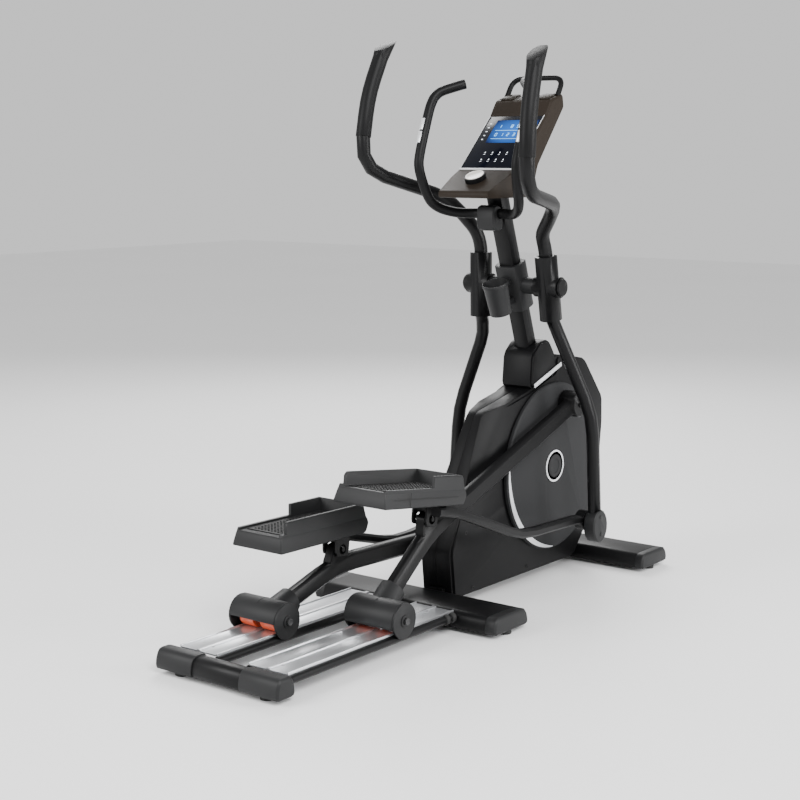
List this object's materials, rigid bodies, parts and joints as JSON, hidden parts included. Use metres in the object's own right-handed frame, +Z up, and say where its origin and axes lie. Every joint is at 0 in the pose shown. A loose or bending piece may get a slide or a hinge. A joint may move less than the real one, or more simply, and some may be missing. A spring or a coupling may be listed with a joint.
{
  "type": "elliptical trainer",
  "caption": "Front-drive elliptical trainer with a slim cased flywheel drive, crank discs, carriages rolling on aluminium rails, swing handles, a tilted console and a bottle cup.",
  "frame": {"origin": "on the floor, on the centre plane, halfway along the length", "axes": "+X the way the user faces, towards the drive casing; +Y the user's left; +Z up"},
  "size_m": [1.85, 0.6918, 1.7072],
  "materials": {
    "frame_paint": "satin black powder coat",
    "charcoal_cover": "fine-grained charcoal",
    "black_shell": "satin black",
    "disc_grey": "satin dark grey",
    "rail_aluminium": "brushed lengthways",
    "roller_orange": "smooth polyurethane",
    "foam_grip": "dipped foam",
    "foot_rubber": "matte",
    "console_bronze": "dark bronze, satin gloss",
    "screen_glass": "glossy, lit blue display behind",
    "knob_cream": "pale face with a silver rim",
    "bare_steel": "turned",
    "flywheel_iron": "machined"
  },
  "bodies": {
    "frame": {"rear_stabilizer": "frame_paint", "mid_stabilizer": "frame_paint", "front_stabilizer": "frame_paint", "main_frame": "frame_paint", "mast": "frame_paint", "swing_axle": "frame_paint", "rail_tubes_left": "frame_paint", "rail_tubes_right": "frame_paint", "mast_collar": "charcoal_cover", "bottle_holder": "charcoal_cover", "handlebar_clamp": "charcoal_cover", "rear_cap_left": "charcoal_cover", "mid_cap_left": "charcoal_cover", "front_cap_left": "charcoal_cover", "rear_cap_right": "charcoal_cover", "mid_cap_right": "charcoal_cover", "front_cap_right": "charcoal_cover", "drive_belt": "foot_rubber", "rear_foot_left": "foot_rubber", "mid_foot_left": "foot_rubber", "front_foot_left": "foot_rubber", "rear_foot_right": "foot_rubber", "mid_foot_right": "foot_rubber", "front_foot_right": "foot_rubber", "rail_track_left": "rail_aluminium", "rail_track_right": "rail_aluminium", "fixed_handlebar": "foam_grip", "console_body": "console_bronze", "console_screen": "screen_glass", "console_handle": "black_shell", "casing_left": "black_shell", "casing_right": "black_shell", "casing_neck": "black_shell"},
    "crank": {"crank_axle": "bare_steel", "drive_pulley": "flywheel_iron", "crank_disc_left": "disc_grey", "crank_disc_right": "disc_grey"},
    "flywheel": {"flywheel": "flywheel_iron"},
    "knob": {"console_knob": "knob_cream"},
    "roller_axle_left": {"roller_axle_left": "bare_steel"},
    "rollers_left": {"rollers_left": "roller_orange"},
    "pedal_arm_left": {"pedal_arm_left": "frame_paint", "carriage_left": "charcoal_cover"},
    "swing_arm_left": {"swing_arm_left": "frame_paint", "handlebar_left": "frame_paint", "grip_left": "foam_grip", "bearing_cover_left": "charcoal_cover"},
    "foot_link_left": {"foot_link_left": "frame_paint", "footplate_left": "charcoal_cover"},
    "roller_axle_right": {"roller_axle_right": "bare_steel"},
    "rollers_right": {"rollers_right": "roller_orange"},
    "pedal_arm_right": {"pedal_arm_right": "frame_paint", "carriage_right": "charcoal_cover"},
    "swing_arm_right": {"swing_arm_right": "frame_paint", "handlebar_right": "frame_paint", "grip_right": "foam_grip", "bearing_cover_right": "charcoal_cover"},
    "foot_link_right": {"foot_link_right": "frame_paint", "footplate_right": "charcoal_cover"}
  },
  "joints": [
    {"name": "crank_spin", "type": "hinge", "parent": "frame", "child": "crank", "pos_m": [0.569, 0, 0.364], "axis": [0, 1, 0], "range_deg": [-22, 22]},
    {"name": "flywheel_spin", "type": "hinge", "parent": "frame", "child": "flywheel", "pos_m": [0.77, 0, 0.3], "axis": [0, 1, 0], "range_deg": [-135, 135]},
    {"name": "knob_turn", "type": "hinge", "parent": "frame", "child": "knob", "pos_m": [0.224, 0, 1.2862], "axis": [-0.464, 0, 0.8858], "continuous": true},
    {"name": "carriage_slide_left", "type": "slide", "parent": "frame", "child": "roller_axle_left", "axis": [1, 0, 0], "range_m": [-0.08, 0.08]},
    {"name": "roller_spin_left", "type": "hinge", "parent": "roller_axle_left", "child": "rollers_left", "pos_m": [-0.59918, 0, 0.098], "axis": [0, 1, 0], "range_deg": [-140, 140]},
    {"name": "pedal_arm_pivot_left", "type": "hinge", "parent": "roller_axle_left", "child": "pedal_arm_left", "pos_m": [-0.59918, 0, 0.098], "axis": [0, 1, 0], "range_deg": [-3, 3]},
    {"name": "swing_pivot_left", "type": "hinge", "parent": "frame", "child": "swing_arm_left", "pos_m": [0.438, 0, 0.955], "axis": [0, 1, 0], "range_deg": [-8, 8]},
    {"name": "foot_link_pivot_left", "type": "hinge", "parent": "swing_arm_left", "child": "foot_link_left", "pos_m": [0.44206, 0, 0.19161], "axis": [0, 1, 0], "range_deg": [-8, 8]},
    {"name": "carriage_slide_right", "type": "slide", "parent": "frame", "child": "roller_axle_right", "axis": [1, 0, 0], "range_m": [-0.08, 0.08]},
    {"name": "roller_spin_right", "type": "hinge", "parent": "roller_axle_right", "child": "rollers_right", "pos_m": [-0.39898, 0, 0.098], "axis": [0, 1, 0], "range_deg": [-140, 140]},
    {"name": "pedal_arm_pivot_right", "type": "hinge", "parent": "roller_axle_right", "child": "pedal_arm_right", "pos_m": [-0.39898, 0, 0.098], "axis": [0, 1, 0], "range_deg": [-3, 3]},
    {"name": "swing_pivot_right", "type": "hinge", "parent": "frame", "child": "swing_arm_right", "pos_m": [0.438, 0, 0.955], "axis": [0, 1, 0], "range_deg": [-8, 8]},
    {"name": "foot_link_pivot_right", "type": "hinge", "parent": "swing_arm_right", "child": "foot_link_right", "pos_m": [0.56228, 0, 0.20178], "axis": [0, 1, 0], "range_deg": [-8, 8]}
  ],
  "couplings": [
    {"joint": "flywheel_spin", "follows": "crank_spin", "ratio": 5.8276},
    {"joint": "carriage_slide_left", "follows": "crank_spin", "m_per_rad": -0.19793},
    {"joint": "roller_spin_left", "follows": "crank_spin", "ratio": -5.8216},
    {"joint": "pedal_arm_pivot_left", "follows": "crank_spin", "ratio": -0.04479},
    {"joint": "swing_pivot_left", "follows": "crank_spin", "ratio": 0.26842},
    {"joint": "foot_link_pivot_left", "follows": "crank_spin", "ratio": -0.24946},
    {"joint": "carriage_slide_right", "follows": "crank_spin", "m_per_rad": 0.17789},
    {"joint": "roller_spin_right", "follows": "crank_spin", "ratio": 5.232},
    {"joint": "pedal_arm_pivot_right", "follows": "crank_spin", "ratio": 0.04919},
    {"joint": "swing_pivot_right", "follows": "crank_spin", "ratio": -0.26164},
    {"joint": "foot_link_pivot_right", "follows": "crank_spin", "ratio": 0.20279}
  ]
}
